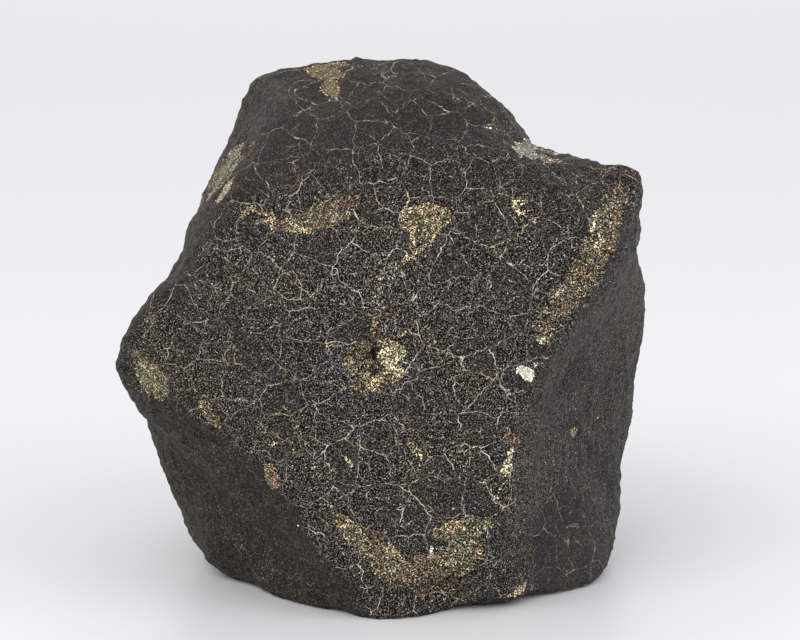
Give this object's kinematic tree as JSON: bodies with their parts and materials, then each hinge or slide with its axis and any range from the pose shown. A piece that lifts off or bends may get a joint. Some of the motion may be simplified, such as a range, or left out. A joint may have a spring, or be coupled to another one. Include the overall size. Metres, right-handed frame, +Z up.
{
  "type": "chondrite meteorite",
  "caption": "Fist-sized chondrite stone with a cracked black fusion crust, chipped in places, that rests on a small flat spot.",
  "frame": {"origin": "middle of the stone's footprint box, on the surface it rests on", "axes": "+Z up, -Y out of the broad flat front face, +X to the right of that face"},
  "size_m": [0.098, 0.0874, 0.0946],
  "materials": {
    "fusion_crust": "dull black fusion crust with fine glints, pale cracks and tan chips"
  },
  "bodies": {
    "root": {"meteorite": "fusion_crust"}
  },
  "joints": []
}
